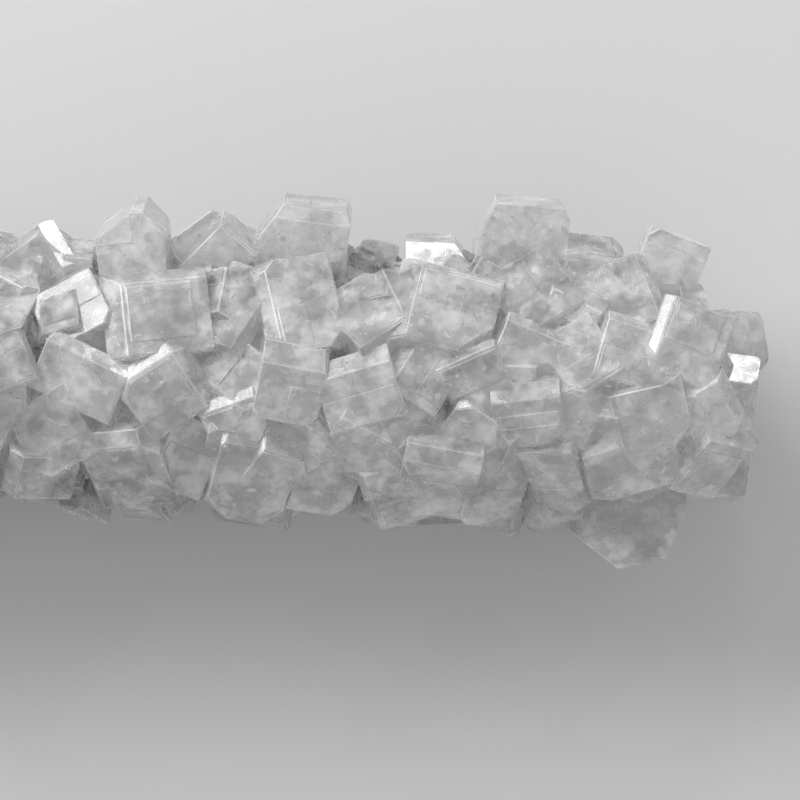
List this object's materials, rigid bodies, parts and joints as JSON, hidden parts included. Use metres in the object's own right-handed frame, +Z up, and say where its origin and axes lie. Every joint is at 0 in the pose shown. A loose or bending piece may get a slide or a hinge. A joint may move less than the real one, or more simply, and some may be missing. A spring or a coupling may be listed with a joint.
{
  "type": "rock candy",
  "caption": "Rod of large clear sugar crystals grown together, lying on its side on a few flat crystal faces.",
  "frame": {"origin": "middle of the bounding box's underside, on the table that the candy lies on", "axes": "+X along the rod towards its free end, +Y across it, +Z up from the table"},
  "size_m": [0.1113, 0.0349, 0.0296],
  "materials": {
    "sugar": "clear to milky crystal"
  },
  "bodies": {
    "root": {"rock_candy": "sugar"}
  },
  "joints": []
}
